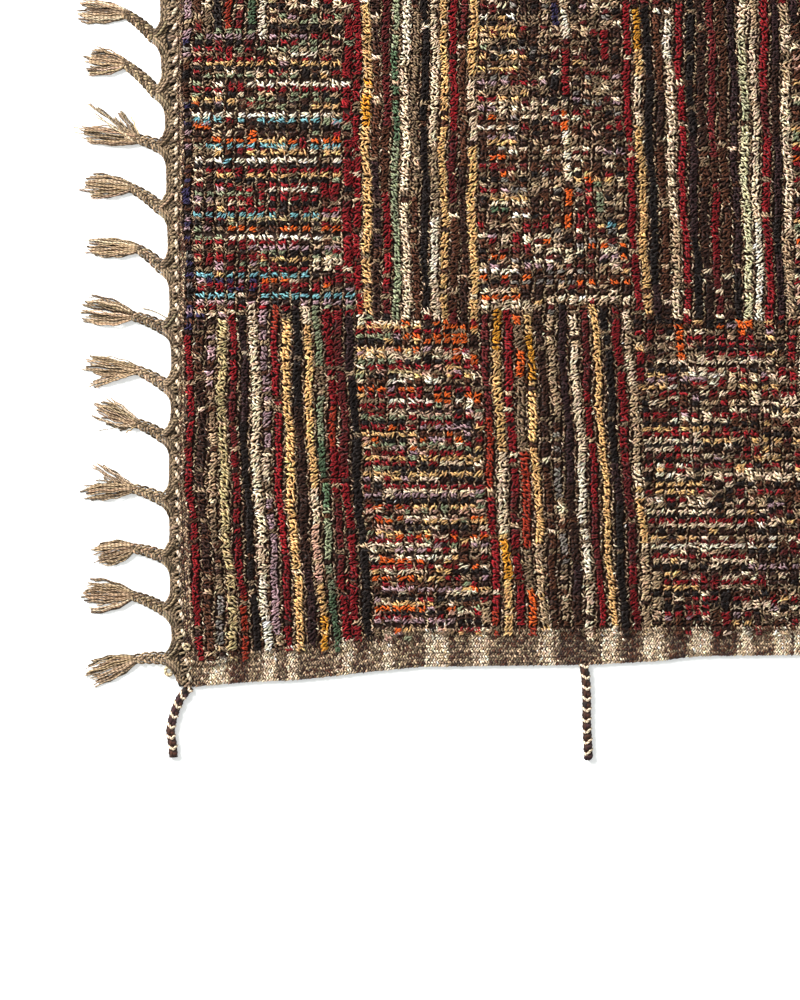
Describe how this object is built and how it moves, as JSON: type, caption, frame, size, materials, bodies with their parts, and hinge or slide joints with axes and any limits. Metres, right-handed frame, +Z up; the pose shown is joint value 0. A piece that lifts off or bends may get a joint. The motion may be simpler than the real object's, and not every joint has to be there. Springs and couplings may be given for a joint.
{
  "type": "afghan rug",
  "caption": "Hand-knotted wool rug lying flat: blocks of stripes and mixed knots, flat-woven side bands, plaited ends with tassels, and short plaited side cords.",
  "frame": {"origin": "under the middle of the rug, on the floor", "axes": "+X along the warps, from the end with tassel_west_01 to the other end; +Y across them, away from the side with the cords; +Z up out of the pile"},
  "size_m": [1.4358, 1.1093, 0.012],
  "materials": {
    "rug_wool": "knotted wool pile, matte",
    "warp_wool": "plaited undyed wool, matte",
    "cord_wool": "plaited dark wool, matte"
  },
  "bodies": {
    "root": {"rug_cloth": "rug_wool", "end_plait_west": "warp_wool", "end_plait_east": "warp_wool", "tassel_west_01": "warp_wool", "tassel_west_02": "warp_wool", "tassel_west_03": "warp_wool", "tassel_west_04": "warp_wool", "tassel_west_05": "warp_wool", "tassel_west_06": "warp_wool", "tassel_west_07": "warp_wool", "tassel_west_08": "warp_wool", "tassel_west_09": "warp_wool", "tassel_west_10": "warp_wool", "tassel_west_11": "warp_wool", "tassel_west_12": "warp_wool", "tassel_west_13": "warp_wool", "tassel_west_14": "warp_wool", "tassel_west_15": "warp_wool", "tassel_west_16": "warp_wool", "tassel_west_17": "warp_wool", "tassel_west_18": "warp_wool", "tassel_east_01": "warp_wool", "tassel_east_02": "warp_wool", "tassel_east_03": "warp_wool", "tassel_east_04": "warp_wool", "tassel_east_05": "warp_wool", "tassel_east_06": "warp_wool", "tassel_east_07": "warp_wool", "tassel_east_08": "warp_wool", "tassel_east_09": "warp_wool", "tassel_east_10": "warp_wool", "tassel_east_11": "warp_wool", "tassel_east_12": "warp_wool", "tassel_east_13": "warp_wool", "tassel_east_14": "warp_wool", "tassel_east_15": "warp_wool", "tassel_east_16": "warp_wool", "tassel_east_17": "warp_wool", "tassel_east_18": "warp_wool", "cord_corner": "cord_wool", "cord_side": "cord_wool"}
  },
  "joints": []
}
